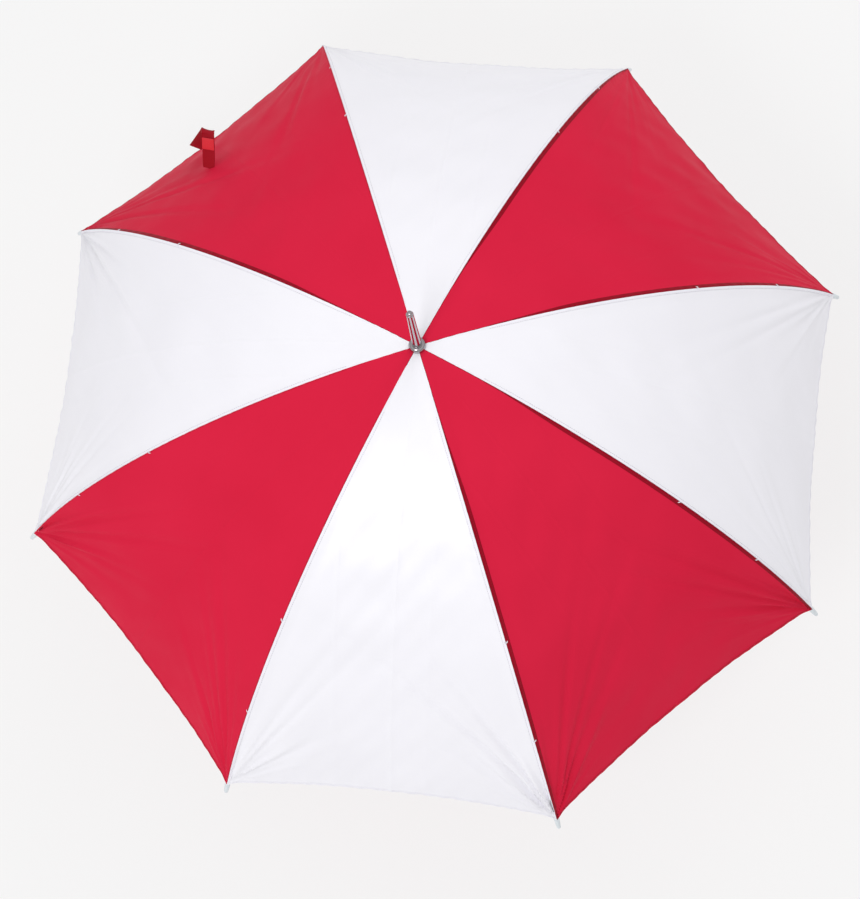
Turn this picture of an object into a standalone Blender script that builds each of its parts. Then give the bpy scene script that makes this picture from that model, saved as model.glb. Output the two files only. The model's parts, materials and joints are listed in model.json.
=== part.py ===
"""A stick golf umbrella with eight ribs, modelled open, in metres with +Z up.

The shaft lies on the Z axis. The origin is the middle of the handle's flat lower end, so the umbrella
is drawn upright with its ferrule at the top. Rib 1 lies along +X, and the others follow it every 45
degrees, seen from above anticlockwise. Canopy panel k lies between rib k - 1 and rib k.

The frame is a slider crank that works as a rhombus: each rib hinges at the top notch, each stretcher
hinges on its rib at a rivet and on the runner at its lower end, and a stretcher is as long as the
distance from the notch's pivot to the rivet. So every stretcher turns by minus twice its rib's fold,
and the runner stays upright as it slides down the shaft.
"""

import math

import bmesh
import bpy
from mathutils import Matrix, Vector

# ------------------------------------------------------------------ driving dimensions
RIB_COUNT = 8
CORNER_RADIUS = 0.622          # shaft axis to the canopy's corners, open
DOME_RISE = 0.58 * CORNER_RADIUS   # crown above the corners
FOLD_ANGLE = math.radians(58.0)    # how far a rib turns from open to closed
ARM = 0.365                    # notch pivot to rivet, and rivet to runner pivot
PIVOT_RADIUS = 0.0105          # shaft axis to the hinge wires of notch and runner
HANDLE_TOP = 0.145

CLEARANCE = 0.0003             # between pieces that touch or turn in each other
FABRIC = 0.0005                # canopy cloth
SEAM_GAP = 0.00025             # from a panel's edge to the rib's middle plane
HEM_CUT = 0.012                # how far the hem's middle is cut back, as a share of the rib's arc
CORNER_SHARE = 0.994           # where the cloth ends on the rib, as a share of the rib's arc
PANEL_SAG = 0.0105             # mid-panel dip below a straight line between ribs, at the hem
CROWN_HOLE = 0.0074            # the canopy's hole at the crown, at the ribs

TUBE_RADIUS = 0.0060
TUBE_BORE = 0.0052
SLEEVE_BORE = TUBE_RADIUS + CLEARANCE
HUB_RADIUS = 0.0125            # notch and runner crown, outside
HUB_WALL_RADIUS = 0.0085       # where the ribs' slots end inside
SLOT_WIDTH = 0.0021
WIRE_RADIUS = 0.0005
EYE_RADIUS = 0.0016
EYE_HOLE = WIRE_RADIUS + CLEARANCE
EYE_PLATE = 0.0014             # thickness of a rib's or stretcher's flattened end

RIB_WIDTH = 0.0034
RIB_DEPTH = 0.0032
SHEET = 0.0006                 # steel of the rib and stretcher channels
RELIEF = 0.00005               # step between an ear's faces and its channel's
RIB_DROP = 0.0017              # rib's back under the middle of the cloth
STRETCHER_WIDTH = 0.0054
STRETCHER_DEPTH = 0.0036
RIVET_RADIUS = 0.0006
RIVET_HEAD = 0.0013
TANG_RADIUS = 0.0007
TIP_RADIUS = 0.0040
TIP_END_RADIUS = 0.0030
TIP_NECK = 0.0015
TIP_LENGTH = 0.029             # plastic tip beyond the cloth's corner

NOTCH_DROP = 0.0058            # crown of the cloth to the ribs' pivots
RUNNER_TAIL = 0.0360           # runner pivot to the sleeve's lower end
FERRULE_TOP = 0.147            # above the crown
FERRULE_BASE_RADIUS = 0.0064
FERRULE_END_RADIUS = 0.0050
SPIGOT_LENGTH = 0.0120          # ferrule inside the tube, below the crown
BELL_RADIUS = 0.0117
BELL_TOP = 0.0098              # above the crown

CATCH_WIDTH = 0.0016
CATCH_LENGTH = 0.0210
CATCH_REACH = 0.0083           # shaft axis to the catch's nose, when it is out
CATCH_ROOT_RADIUS = 0.0033     # shaft axis to where the catch bends
CATCH_AZIMUTH = math.radians(292.5)
SLEEVE_RADIUS = 0.0071
NOTCH_PIN_RADIUS = 0.0008
STOP_PIN_RADIUS = 0.0009
WINDOW_LOW = 0.0030            # the catch window in the runner's sleeve, above its lower end
WINDOW_HIGH = 0.0130

GRIP_TOP = HANDLE_TOP - 0.0100
GRIP_LOW = 0.0036
GRIP_RADIUS = 0.0150
GRIP_NARROW = 0.86             # radius of the grip's ends, as a share of its fullest
COLLAR_RADIUS = 0.0129
TUBE_LOW = 0.0140              # the tube's end inside the grip

STRAP_WIDTH = 0.019
STRAP_THICKNESS = 0.0012
PATCH_SIZE = 0.018
STRAP_AZIMUTH = math.radians(117.1)
STRAP_FACING = math.radians(-123.0)     # which way the strap's front looks, seen from above
STRAP_SHARE = 0.772                     # where it is stitched, as a share of the rib's arc
STRAP_RISE = (                          # its straight front, as (backwards, across, up) points
    (0.0073, 0.0000, 0.0099),
    (0.0205, 0.0015, 0.0265),
    (0.0330, 0.0035, 0.0422),
)
STRAP_FALL = (                          # over the top and back down towards the hem
    (0.0385, 0.0050, 0.0468),
    (0.0430, 0.0085, 0.0400),
    (0.0440, 0.0150, 0.0220),
    (0.0450, 0.0270, -0.0090),
    (0.0460, 0.0390, -0.0400),
    (0.0464, 0.0475, -0.0615),
)

TURN_STEPS = 16
SMALL_STEPS = 10

# ------------------------------------------------------------------ derived places
DOME_RADIUS = (CORNER_RADIUS**2 + DOME_RISE**2) / (2 * DOME_RISE)
CORNER_ANGLE = math.asin(CORNER_RADIUS / DOME_RADIUS)
RIB_TOP = DOME_RADIUS - RIB_DROP
RIVET_CIRCLE = RIB_TOP - SHEET - (RIB_DEPTH - SHEET) / 2

# angles are at the dome's centre, from straight up; the pivot is NOTCH_DROP under the crown
PIVOT_REACH = math.hypot(PIVOT_RADIUS, DOME_RADIUS - NOTCH_DROP)
PIVOT_ANGLE = math.atan2(PIVOT_RADIUS, DOME_RADIUS - NOTCH_DROP)
RIVET_ANGLE = PIVOT_ANGLE + math.acos(
    (PIVOT_REACH**2 + RIVET_CIRCLE**2 - ARM**2) / (2 * PIVOT_REACH * RIVET_CIRCLE)
)
RIVET_OUT = RIVET_CIRCLE * math.sin(RIVET_ANGLE) - PIVOT_RADIUS
RIVET_DOWN = DOME_RADIUS - NOTCH_DROP - RIVET_CIRCLE * math.cos(RIVET_ANGLE)
OPEN_ANGLE = math.atan2(RIVET_OUT, RIVET_DOWN)      # arm from straight down, open
CLOSED_ANGLE = OPEN_ANGLE - FOLD_ANGLE
RUNNER_CLOSED_Z = HANDLE_TOP + 5 * CLEARANCE + RUNNER_TAIL
NOTCH_Z = RUNNER_CLOSED_Z + 2 * ARM * math.cos(CLOSED_ANGLE)
RUNNER_Z = NOTCH_Z - 2 * ARM * math.cos(OPEN_ANGLE)
CROWN_Z = NOTCH_Z + NOTCH_DROP
DOME_Z = CROWN_Z - DOME_RADIUS                      # the dome's centre
SLEEVE_END_Z = RUNNER_Z - RUNNER_TAIL
SLEEVE_END_CLOSED_Z = RUNNER_CLOSED_Z - RUNNER_TAIL
HALF_SECTOR = math.pi / RIB_COUNT

# where the rib's channel starts and ends on its arc, and the radius at which its tang leaves it
RIB_START = math.asin((PIVOT_RADIUS + 0.0080) / DOME_RADIUS)
RIB_END = CORNER_ANGLE * CORNER_SHARE - 0.0150 / DOME_RADIUS
RIB_MIDDLE = RIB_TOP - RIB_DEPTH / 2

NOTCH_PIN_Z = NOTCH_Z - 0.0105
STOP_PIN_RISE = 0.0052         # stop pin above the open runner's pivots
TOP_CATCH_ROOT = SLEEVE_END_Z - 2 * CLEARANCE - CATCH_LENGTH
BOTTOM_CATCH_ROOT = SLEEVE_END_CLOSED_Z + WINDOW_LOW + 2 * CLEARANCE + CATCH_LENGTH


# ------------------------------------------------------------------ tools
def clear_scene():
    for item in list(bpy.data.objects):
        bpy.data.objects.remove(item, do_unlink=True)
    for mesh in list(bpy.data.meshes):
        bpy.data.meshes.remove(mesh)


def make_collection(name):
    group = bpy.data.collections.new(name)
    bpy.context.scene.collection.children.link(group)
    return group


def make_material(name, color, metallic, roughness):
    material = bpy.data.materials.new(name)
    material.use_nodes = True
    shader = material.node_tree.nodes["Principled BSDF"]
    shader.inputs["Base Color"].default_value = (*color, 1.0)
    shader.inputs["Metallic"].default_value = metallic
    shader.inputs["Roughness"].default_value = roughness
    return material


def mesh_from_bmesh(name, bm):
    bmesh.ops.recalc_face_normals(bm, faces=bm.faces)
    mesh = bpy.data.meshes.new(name)
    bm.to_mesh(mesh)
    bm.free()
    return mesh


def place(name, mesh, material, parent=None, matrix=None, smooth=True):
    """A named part in the umbrella's collection. The matrix is in the parent's space."""
    mesh.materials.clear()
    mesh.materials.append(material)
    if smooth:
        mesh.shade_smooth()
        mesh.set_sharp_from_angle(angle=math.radians(35))
    item = bpy.data.objects.new(name, mesh)
    parts.objects.link(item)
    item.parent = parent
    if matrix is not None:
        item.matrix_local = matrix
    return item


def place_pivot(name, matrix, parent=None):
    """An empty on a joint's axis. The matrix is in the parent's space."""
    empty = bpy.data.objects.new(name, None)
    empty.empty_display_size = 0.01
    parts.objects.link(empty)
    empty.parent = parent
    empty.matrix_local = matrix
    return empty


def turned_mesh(name, profile, steps=TURN_STEPS, closed=True):
    """Turn a profile of (radius, height) points about Z. It runs down the outer side, top to bottom."""
    bm = bmesh.new()
    verts = [bm.verts.new((radius, 0.0, height)) for radius, height in profile]
    for start, end in zip(verts, verts[1:]):
        bm.edges.new((start, end))
    if closed:
        bm.edges.new((verts[-1], verts[0]))
    mesh = bpy.data.meshes.new(name)
    bm.to_mesh(mesh)
    bm.free()
    item = bpy.data.objects.new(name + "_profile", mesh)
    cutters.objects.link(item)
    screw = item.modifiers.new("turn", "SCREW")
    screw.steps = steps
    screw.render_steps = steps
    screw.use_merge_vertices = True
    screw.merge_threshold = 0.00001
    return applied(item, name)


def applied(item, name):
    """The item's mesh with its modifiers applied, in its own space; the item is removed."""
    graph = bpy.context.evaluated_depsgraph_get()
    mesh = bpy.data.meshes.new_from_object(item.evaluated_get(graph))
    mesh.name = name
    bpy.data.objects.remove(item, do_unlink=True)
    return mesh


def box_mesh(name, low, high):
    bm = bmesh.new()
    bmesh.ops.create_cube(bm, size=1.0)
    size = Vector(high) - Vector(low)
    middle = (Vector(high) + Vector(low)) / 2
    bmesh.ops.scale(bm, vec=size, verts=bm.verts)
    bmesh.ops.translate(bm, vec=middle, verts=bm.verts)
    return mesh_from_bmesh(name, bm)


def rod_mesh(name, radius, start, end, steps=SMALL_STEPS):
    """A cylinder between two points."""
    start = Vector(start)
    end = Vector(end)
    bm = bmesh.new()
    bmesh.ops.create_cone(
        bm, cap_ends=True, segments=steps, radius1=radius, radius2=radius, depth=(end - start).length
    )
    turn = (end - start).to_track_quat("Z", "Y").to_matrix().to_4x4()
    bmesh.ops.transform(bm, matrix=Matrix.Translation((start + end) / 2) @ turn, verts=bm.verts)
    return mesh_from_bmesh(name, bm)


def outline_mesh(name, loops, thickness):
    """A flat plate from outlines in the XZ plane, the later ones being its holes, centred on Y = 0."""
    curve = bpy.data.curves.new(name, "CURVE")
    curve.dimensions = "2D"
    curve.fill_mode = "BOTH"
    curve.extrude = thickness / 2
    for loop in loops:
        spline = curve.splines.new("POLY")
        spline.points.add(len(loop) - 1)
        for point, (x, z) in zip(spline.points, loop):
            point.co = (x, z, 0.0, 1.0)
        spline.use_cyclic_u = True
    item = bpy.data.objects.new(name, curve)
    cutters.objects.link(item)
    mesh = applied(item, name)
    bm = bmesh.new()
    bm.from_mesh(mesh)
    bmesh.ops.remove_doubles(bm, verts=bm.verts, dist=0.000005)
    bmesh.ops.transform(bm, matrix=Matrix.Rotation(math.pi / 2, 4, "X"), verts=bm.verts)
    return mesh_from_bmesh(name, bm)


def joined_and_cut(name, mesh, added=(), removed=()):
    """The mesh with others united to it and then others cut from it."""
    item = bpy.data.objects.new(name + "_blank", mesh)
    cutters.objects.link(item)
    tools = []
    for operation, meshes in (("UNION", added), ("DIFFERENCE", removed)):
        for other in meshes:
            tool = bpy.data.objects.new(other.name + "_cutter", other)
            cutters.objects.link(tool)
            tool.hide_render = True
            tool.display_type = "WIRE"
            boolean = item.modifiers.new(operation.lower(), "BOOLEAN")
            boolean.operation = operation
            boolean.solver = "EXACT"
            boolean.object = tool
            tools.append(tool)
    result = applied(item, name)
    for tool in tools:
        bpy.data.objects.remove(tool, do_unlink=True)
    return result


def arc_points(centre, radius, first, last, count):
    """Points on an arc in a plane, from one angle to another in degrees."""
    angles = [math.radians(first + (last - first) * k / (count - 1)) for k in range(count)]
    return [(centre[0] + radius * math.cos(a), centre[1] + radius * math.sin(a)) for a in angles]


def circle_points(centre, radius, count=SMALL_STEPS):
    return arc_points(centre, radius, 0, 360 - 360 / count, count)


def radial(azimuth):
    return Vector((math.cos(azimuth), math.sin(azimuth), 0.0))


def turned_frame(azimuth, radius, height):
    """A space at a radius and height beside the shaft, with +X pointing away from it."""
    return Matrix.Rotation(azimuth, 4, "Z") @ Matrix.Translation((radius, 0.0, height))


# ------------------------------------------------------------------ rib, stretcher, tip and rivet
def channel_section(width, depth):
    """A U section open downwards, as (across, up) points with its back at zero height."""
    half = width / 2
    inner = half - SHEET
    return [
        (-half, 0.0),
        (half, 0.0),
        (half, -depth),
        (inner, -depth),
        (inner, -SHEET),
        (-inner, -SHEET),
        (-inner, -depth),
        (-half, -depth),
    ]


def dome_point(angle, radius):
    """A point of rib 1's plane, from the rib's pivot, at an angle and radius about the dome's centre."""
    return Vector(
        (radius * math.sin(angle) - PIVOT_RADIUS, 0.0, radius * math.cos(angle) - DOME_RADIUS + NOTCH_DROP)
    )


def rib_channel():
    """The fluted steel channel, swept along its arc in two stretches that meet at the rivet."""
    bm = bmesh.new()
    section = channel_section(RIB_WIDTH, RIB_DEPTH)
    up = Vector((math.sin(RIB_START), 0.0, math.cos(RIB_START)))
    origin = dome_point(RIB_START, RIB_TOP)
    verts = [bm.verts.new(origin + up * height + Vector((0.0, across, 0.0))) for across, height in section]
    edges = [bm.edges.new((a, b)) for a, b in zip(verts, verts[1:] + verts[:1])]
    bmesh.ops.contextual_create(bm, geom=edges)
    loop = verts + edges
    centre = dome_point(0.0, 0.0)
    for angle, steps in ((RIVET_ANGLE - RIB_START, 8), (RIB_END - RIVET_ANGLE, 8)):
        spun = bmesh.ops.spin(
            bm, geom=loop, cent=centre, axis=(0.0, 1.0, 0.0), angle=angle, steps=steps, use_duplicate=False
        )
        loop = spun["geom_last"]
    bmesh.ops.contextual_create(bm, geom=[e for e in loop if isinstance(e, bmesh.types.BMEdge)])
    return mesh_from_bmesh("rib_channel", bm)


def rib_mesh():
    """Rib 1 about its pivot: flattened eye, channel, and the tang that carries the plastic tip."""
    eye = outline_mesh(
        "rib_eye",
        [
            [(0.0140, 0.0034), (0.0078, 0.0034)]
            + arc_points((0.0, 0.0), EYE_RADIUS, 115, 300, 9)
            + [(0.0072, 0.0012), (0.0140, 0.0016)],
            circle_points((0.0, 0.0), EYE_HOLE),
        ],
        EYE_PLATE,
    )
    tang = rod_mesh("rib_tang", TANG_RADIUS, (0.0, 0.0, -0.0170), (0.0, 0.0, 0.0030), 8)
    tang.transform(tip_frame())
    root = box_mesh("rib_tang_root", (-0.0013, -0.0015, -0.0210), (0.0012, 0.0015, -0.0140))
    root.transform(tip_frame())
    hole = rod_mesh("rib_rivet_hole", RIVET_RADIUS + CLEARANCE, (0.0, -0.01, 0.0), (0.0, 0.01, 0.0))
    hole.transform(Matrix.Translation(dome_point(RIVET_ANGLE, RIVET_CIRCLE)))
    return joined_and_cut("rib", rib_channel(), added=(eye, root, tang), removed=(hole,))


def tip_frame():
    """The tip's own space, from the rib's pivot: origin under the cloth's corner, Z along the rib's end."""
    angle = CORNER_ANGLE * CORNER_SHARE
    origin = dome_point(angle, RIB_MIDDLE)
    return Matrix.Translation(origin) @ Matrix.Rotation(math.pi / 2 + angle, 4, "Y")


def tip_mesh():
    """A moulded plastic tip: a slim neck under the cloth, a shoulder at its corner and a round end."""
    neck_start = -0.0120
    profile = (
        [(0.0, TIP_LENGTH)]
        + [
            (x, z)
            for x, z in reversed(
                arc_points((0.0, TIP_LENGTH - TIP_END_RADIUS), TIP_END_RADIUS, 0, 75, 4)
            )
        ]
        + [
            (TIP_RADIUS, 0.0060),
            (TIP_RADIUS * 0.94, 0.0030),
            (TIP_NECK, 0.0004),
            (TIP_NECK, neck_start),
            (TANG_RADIUS + CLEARANCE, neck_start),
            (TANG_RADIUS + CLEARANCE, 0.0036),
            (0.0, 0.0036),
        ]
    )
    mesh = turned_mesh("rib_tip", profile, 10, closed=False)
    mesh.transform(tip_frame())
    return mesh


def rivet_mesh():
    """A rivet through the stretcher's two ears and the rib between them, headed at both ends."""
    inner = STRETCHER_WIDTH / 2 + CLEARANCE
    outer = inner + 0.0006
    profile = [
        (0.0, outer),
        (RIVET_HEAD * 0.8, outer),
        (RIVET_HEAD, inner),
        (RIVET_RADIUS, inner),
        (RIVET_RADIUS, -inner),
        (RIVET_HEAD, -inner),
        (RIVET_HEAD * 0.8, -outer),
        (0.0, -outer),
    ]
    mesh = turned_mesh("rib_rivet", profile, 8, closed=False)
    mesh.transform(Matrix.Rotation(math.pi / 2, 4, "X"))
    return mesh


def stretcher_mesh():
    """A stretcher about its rivet, with the runner's end at -X: eye, channel, and two ears at the rivet."""
    top = STRETCHER_DEPTH / 2
    start = -ARM + 0.0085
    bm = bmesh.new()
    section = channel_section(STRETCHER_WIDTH, STRETCHER_DEPTH)
    verts = [bm.verts.new((start, across, top + height)) for across, height in section]
    face = bm.faces.new(verts)
    grown = bmesh.ops.extrude_face_region(bm, geom=[face], use_keep_orig=True)
    moved = [v for v in grown["geom"] if isinstance(v, bmesh.types.BMVert)]
    bmesh.ops.translate(bm, vec=(-start, 0.0, 0.0), verts=moved)
    channel = mesh_from_bmesh("stretcher_channel", bm)
    eye = outline_mesh(
        "stretcher_eye",
        [
            [(-ARM + 0.0150, top - SHEET / 2), (-ARM + 0.0084, top - SHEET / 2)]
            + arc_points((-ARM, 0.0), EYE_RADIUS, 100, 280, 9)
            + [(-ARM + 0.0084, -0.0008), (-ARM + 0.0150, -0.0008)],
            circle_points((-ARM, 0.0), EYE_HOLE),
        ],
        EYE_PLATE,
    )
    half = STRETCHER_WIDTH / 2
    ear = half - RELIEF
    ears = rod_mesh("stretcher_ears", top - RELIEF, (0.0, -ear, 0.0), (0.0, ear, 0.0), 12)
    inner = half - SHEET + RELIEF
    fork = box_mesh("stretcher_fork", (-0.0100, -inner, -0.01), (0.0100, inner, 0.01))
    hole = rod_mesh(
        "stretcher_rivet_hole", RIVET_RADIUS + CLEARANCE, (0.0, -0.01, 0.0), (0.0, 0.01, 0.0)
    )
    return joined_and_cut("stretcher", channel, added=(eye, ears), removed=(fork, hole))


# ------------------------------------------------------------------ canopy
def panel_mesh():
    """One gore, about the shaft's axis, with its middle along +X: a ruled sheet that dips between ribs."""
    rows = 16
    columns = 4
    bm = bmesh.new()
    bmesh.ops.create_grid(bm, x_segments=rows, y_segments=columns, size=1.0)
    crown = math.asin(CROWN_HOLE / DOME_RADIUS)
    for vert in bm.verts:
        along = (vert.co.x + 1) / 2
        across = vert.co.y
        hem = CORNER_ANGLE * (CORNER_SHARE - HEM_CUT * (1 - across**2))
        angle = crown + (hem - crown) * along
        out = DOME_RADIUS * math.sin(angle)
        sag = PANEL_SAG * out / CORNER_RADIUS * (1 - across**2)
        vert.co = (
            out * math.cos(HALF_SECTOR) - sag * math.sin(angle),
            across * (out * math.sin(HALF_SECTOR) - SEAM_GAP),
            DOME_Z + DOME_RADIUS * math.cos(angle) - sag * math.cos(angle),
        )
    mesh = mesh_from_bmesh("canopy_panel_sheet", bm)
    item = bpy.data.objects.new("canopy_panel_sheet", mesh)
    cutters.objects.link(item)
    solid = item.modifiers.new("cloth", "SOLIDIFY")
    solid.thickness = FABRIC
    solid.offset = 0.0
    return applied(item, "canopy_panel")


def panel_point(azimuth, angle):
    """A point of the canopy's cloth, at an azimuth and an angle from the dome's top."""
    middle = (math.floor(azimuth / (2 * HALF_SECTOR)) + 0.5) * 2 * HALF_SECTOR
    out = DOME_RADIUS * math.sin(angle) * math.cos(HALF_SECTOR)
    across = math.tan(azimuth - middle) * out
    share = across / (DOME_RADIUS * math.sin(angle) * math.sin(HALF_SECTOR))
    sag = PANEL_SAG * math.sin(angle) * DOME_RADIUS / CORNER_RADIUS * (1 - share**2)
    flat = radial(middle) * (out - sag * math.sin(angle)) + radial(middle + math.pi / 2) * across
    return flat + Vector((0.0, 0.0, DOME_Z + (DOME_RADIUS - sag) * math.cos(angle)))


# ------------------------------------------------------------------ shaft pieces
def tube_mesh():
    """The steel tube, from inside the grip to inside the open cap, with its pin holes and catch slots."""
    top = CROWN_Z + BELL_TOP - CLEARANCE
    body = turned_mesh(
        "shaft_tube",
        [(TUBE_RADIUS, top), (TUBE_RADIUS, TUBE_LOW), (TUBE_BORE, TUBE_LOW), (TUBE_BORE, top)],
    )
    cuts = [
        pin_rod("notch_pin_hole", NOTCH_PIN_Z, NOTCH_PIN_RADIUS + CLEARANCE, 0.02),
        pin_rod("stop_pin_hole", RUNNER_Z + STOP_PIN_RISE, STOP_PIN_RADIUS + CLEARANCE, 0.02),
    ]
    half = CATCH_WIDTH / 2 + CLEARANCE
    ends = 0.0008
    for low in (TOP_CATCH_ROOT, BOTTOM_CATCH_ROOT - CATCH_LENGTH):
        slot = box_mesh(
            "catch_slot", (0.0025, -half, low - ends), (0.0080, half, low + CATCH_LENGTH + ends)
        )
        slot.transform(Matrix.Rotation(CATCH_AZIMUTH, 4, "Z"))
        cuts.append(slot)
    return joined_and_cut("shaft_tube", body, removed=cuts)


def pin_rod(name, height, radius, length):
    """A cross pin through the shaft, square to the catches."""
    side = radial(CATCH_AZIMUTH + math.pi / 2) * (length / 2)
    middle = Vector((0.0, 0.0, height))
    return rod_mesh(name, radius, middle - side, middle + side)


def catch_mesh(name, nose):
    """A pressed steel catch about its bent root: a ramp up to a square nose above it (1) or below (-1)."""
    reach = CATCH_REACH - CATCH_ROOT_RADIUS
    outline = [
        (-0.0011, 0.0),
        (0.0011, 0.0),
        (0.0023, nose * (CATCH_LENGTH - 0.0086)),
        (reach, nose * (CATCH_LENGTH - 0.0010)),
        (reach, nose * CATCH_LENGTH),
        (-0.0007, nose * CATCH_LENGTH),
    ]
    return outline_mesh(name, [outline], CATCH_WIDTH)


def hub_mesh(name, profile, slot_low, slot_high):
    """A turned hub with a slot for each rib or stretcher, cut in from its rim."""
    slots = []
    for k in range(RIB_COUNT):
        slot = box_mesh(
            "hub_slot", (HUB_WALL_RADIUS, -SLOT_WIDTH / 2, slot_low), (0.020, SLOT_WIDTH / 2, slot_high)
        )
        slot.transform(Matrix.Rotation(2 * HALF_SECTOR * k, 4, "Z"))
        slots.append(slot)
    return joined_and_cut(name, turned_mesh(name + "_blank", profile), removed=slots)


def notch_mesh():
    groove = WIRE_RADIUS + CLEARANCE
    inner = PIVOT_RADIUS - WIRE_RADIUS - CLEARANCE
    top = CROWN_Z - 0.0008
    low = NOTCH_Z - 0.0052
    tail = NOTCH_Z - 0.0145
    body = hub_mesh(
        "top_notch",
        [
            (HUB_RADIUS, top),
            (HUB_RADIUS, NOTCH_Z + groove),
            (inner, NOTCH_Z + groove),
            (inner, NOTCH_Z - groove),
            (HUB_RADIUS, NOTCH_Z - groove),
            (HUB_RADIUS, low),
            (HUB_WALL_RADIUS, low),
            (HUB_WALL_RADIUS, tail),
            (SLEEVE_BORE, tail),
            (SLEEVE_BORE, top),
        ],
        low - 0.001,
        NOTCH_Z + 0.0036,
    )
    hole = pin_rod("notch_pin_hole", NOTCH_PIN_Z, NOTCH_PIN_RADIUS + CLEARANCE, 0.03)
    return joined_and_cut("top_notch", body, removed=(hole,))


def runner_crown_mesh():
    """The runner's plastic crown: slotted rim for the stretchers above, a waist and a thumb flange below."""
    groove = WIRE_RADIUS + CLEARANCE
    inner = PIVOT_RADIUS - WIRE_RADIUS - CLEARANCE
    top = 0.0026
    low = -0.0215
    waist = 0.0092
    flange = 0.0118
    bore = SLEEVE_RADIUS + CLEARANCE
    return hub_mesh(
        "runner_crown",
        [
            (HUB_RADIUS, top),
            (HUB_RADIUS, groove),
            (inner, groove),
            (inner, -groove),
            (HUB_RADIUS, -groove),
            (HUB_RADIUS, -0.0048),
            (waist, -0.0080),
            (waist, low + 0.0040),
            (flange, low + 0.0014),
            (flange, low),
            (bore, low),
            (bore, top),
        ],
        -0.0024,
        top + 0.001,
    )


def runner_sleeve_mesh():
    """The runner's steel sleeve, with the window that the lower catch springs into."""
    top = 0.0030
    low = -RUNNER_TAIL
    body = turned_mesh(
        "runner_sleeve",
        [(SLEEVE_RADIUS, top), (SLEEVE_RADIUS, low), (SLEEVE_BORE, low), (SLEEVE_BORE, top)],
    )
    half = CATCH_WIDTH / 2 + 2 * CLEARANCE
    window = box_mesh("sleeve_window", (0.0050, -half, low + WINDOW_LOW), (0.0090, half, low + WINDOW_HIGH))
    window.transform(Matrix.Rotation(CATCH_AZIMUTH, 4, "Z"))
    return joined_and_cut("runner_sleeve", body, removed=(window,))


def wire_mesh(name):
    """The ring of wire that the ribs or the stretchers hinge on."""
    bpy.ops.mesh.primitive_torus_add(
        major_segments=24,
        minor_segments=6,
        major_radius=PIVOT_RADIUS,
        minor_radius=WIRE_RADIUS,
        location=(0.0, 0.0, 0.0),
    )
    return applied(bpy.context.object, name)


def ferrule_mesh():
    """The tapered metal ferrule: spigot in the tube, long taper, groove, bead and domed end."""
    base = CROWN_Z + BELL_TOP + CLEARANCE
    top = CROWN_Z + FERRULE_TOP
    end = FERRULE_END_RADIUS
    spigot = TUBE_BORE - CLEARANCE
    profile = [
        (0.0, top),
        (end * 0.50, top - 0.0006),
        (end * 0.82, top - 0.0026),
        (end * 0.84, top - 0.0048),
        (end * 0.66, top - 0.0058),
        (end * 0.98, top - 0.0070),
        (end, top - 0.0100),
        (FERRULE_BASE_RADIUS, base + 0.0300),
        (FERRULE_BASE_RADIUS, base),
        (spigot, base),
        (spigot, CROWN_Z - SPIGOT_LENGTH),
        (0.0, CROWN_Z - SPIGOT_LENGTH),
    ]
    return turned_mesh("ferrule", profile, closed=False)


def bell_mesh():
    """The open cap: a rounded metal skirt over the crown, hollow below."""
    top = CROWN_Z + BELL_TOP
    low = CROWN_Z + 0.0016
    rim = BELL_RADIUS
    bore = TUBE_RADIUS + CLEARANCE
    return turned_mesh(
        "open_cap",
        [
            (rim * 0.62, top),
            (rim * 0.80, top - 0.0010),
            (rim * 0.94, top - 0.0030),
            (rim, top - 0.0058),
            (rim, low),
            (rim - 0.0009, low),
            (rim - 0.0009, top - 0.0056),
            (rim * 0.80, top - 0.0026),
            (bore, top - 0.0014),
            (bore, top),
        ],
    )


def rosette_mesh():
    """The small disc of cloth stitched over the canopy's crown."""
    low = CROWN_Z + 0.0007
    return turned_mesh(
        "canopy_rosette",
        [(0.0110, low + FABRIC), (0.0110, low), (0.0066, low), (0.0066, low + FABRIC)],
    )


# ------------------------------------------------------------------ handle
def grip_mesh():
    """A turned wooden grip, fullest a third of the way up, with a blind hole for the tube."""
    bore = TUBE_RADIUS + CLEARANCE
    count = 9
    profile = []
    for k in range(count + 1):
        share = k / count
        fullness = GRIP_NARROW + (1 - GRIP_NARROW) * math.sin(math.pi * share**0.75)
        profile.append((GRIP_RADIUS * fullness, GRIP_TOP - (GRIP_TOP - GRIP_LOW) * share))
    hole_end = TUBE_LOW - CLEARANCE
    profile += [(0.0, GRIP_LOW), (0.0, hole_end), (bore, hole_end), (bore, GRIP_TOP)]
    return turned_mesh("handle_grip", profile)


def collar_mesh():
    """The metal collar between grip and shaft."""
    low = GRIP_TOP + CLEARANCE
    bore = TUBE_RADIUS + CLEARANCE
    return turned_mesh(
        "handle_collar",
        [
            (0.0078, HANDLE_TOP),
            (0.0100, HANDLE_TOP - 0.0012),
            (0.0112, HANDLE_TOP - 0.0050),
            (COLLAR_RADIUS, low + 0.0022),
            (COLLAR_RADIUS, low),
            (bore, low),
            (bore, HANDLE_TOP),
        ],
    )


def end_cap_mesh():
    """The metal disc under the grip, whose flat lower face is the umbrella's rest."""
    top = GRIP_LOW - CLEARANCE
    radius = GRIP_RADIUS * GRIP_NARROW
    bevel = 0.0008
    profile = [(0.0, top), (radius - bevel / 2, top), (radius, top - bevel)]
    profile += [(radius, bevel), (radius - bevel, 0.0), (0.0, 0.0)]
    return turned_mesh("handle_end_cap", profile, closed=False)


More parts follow.
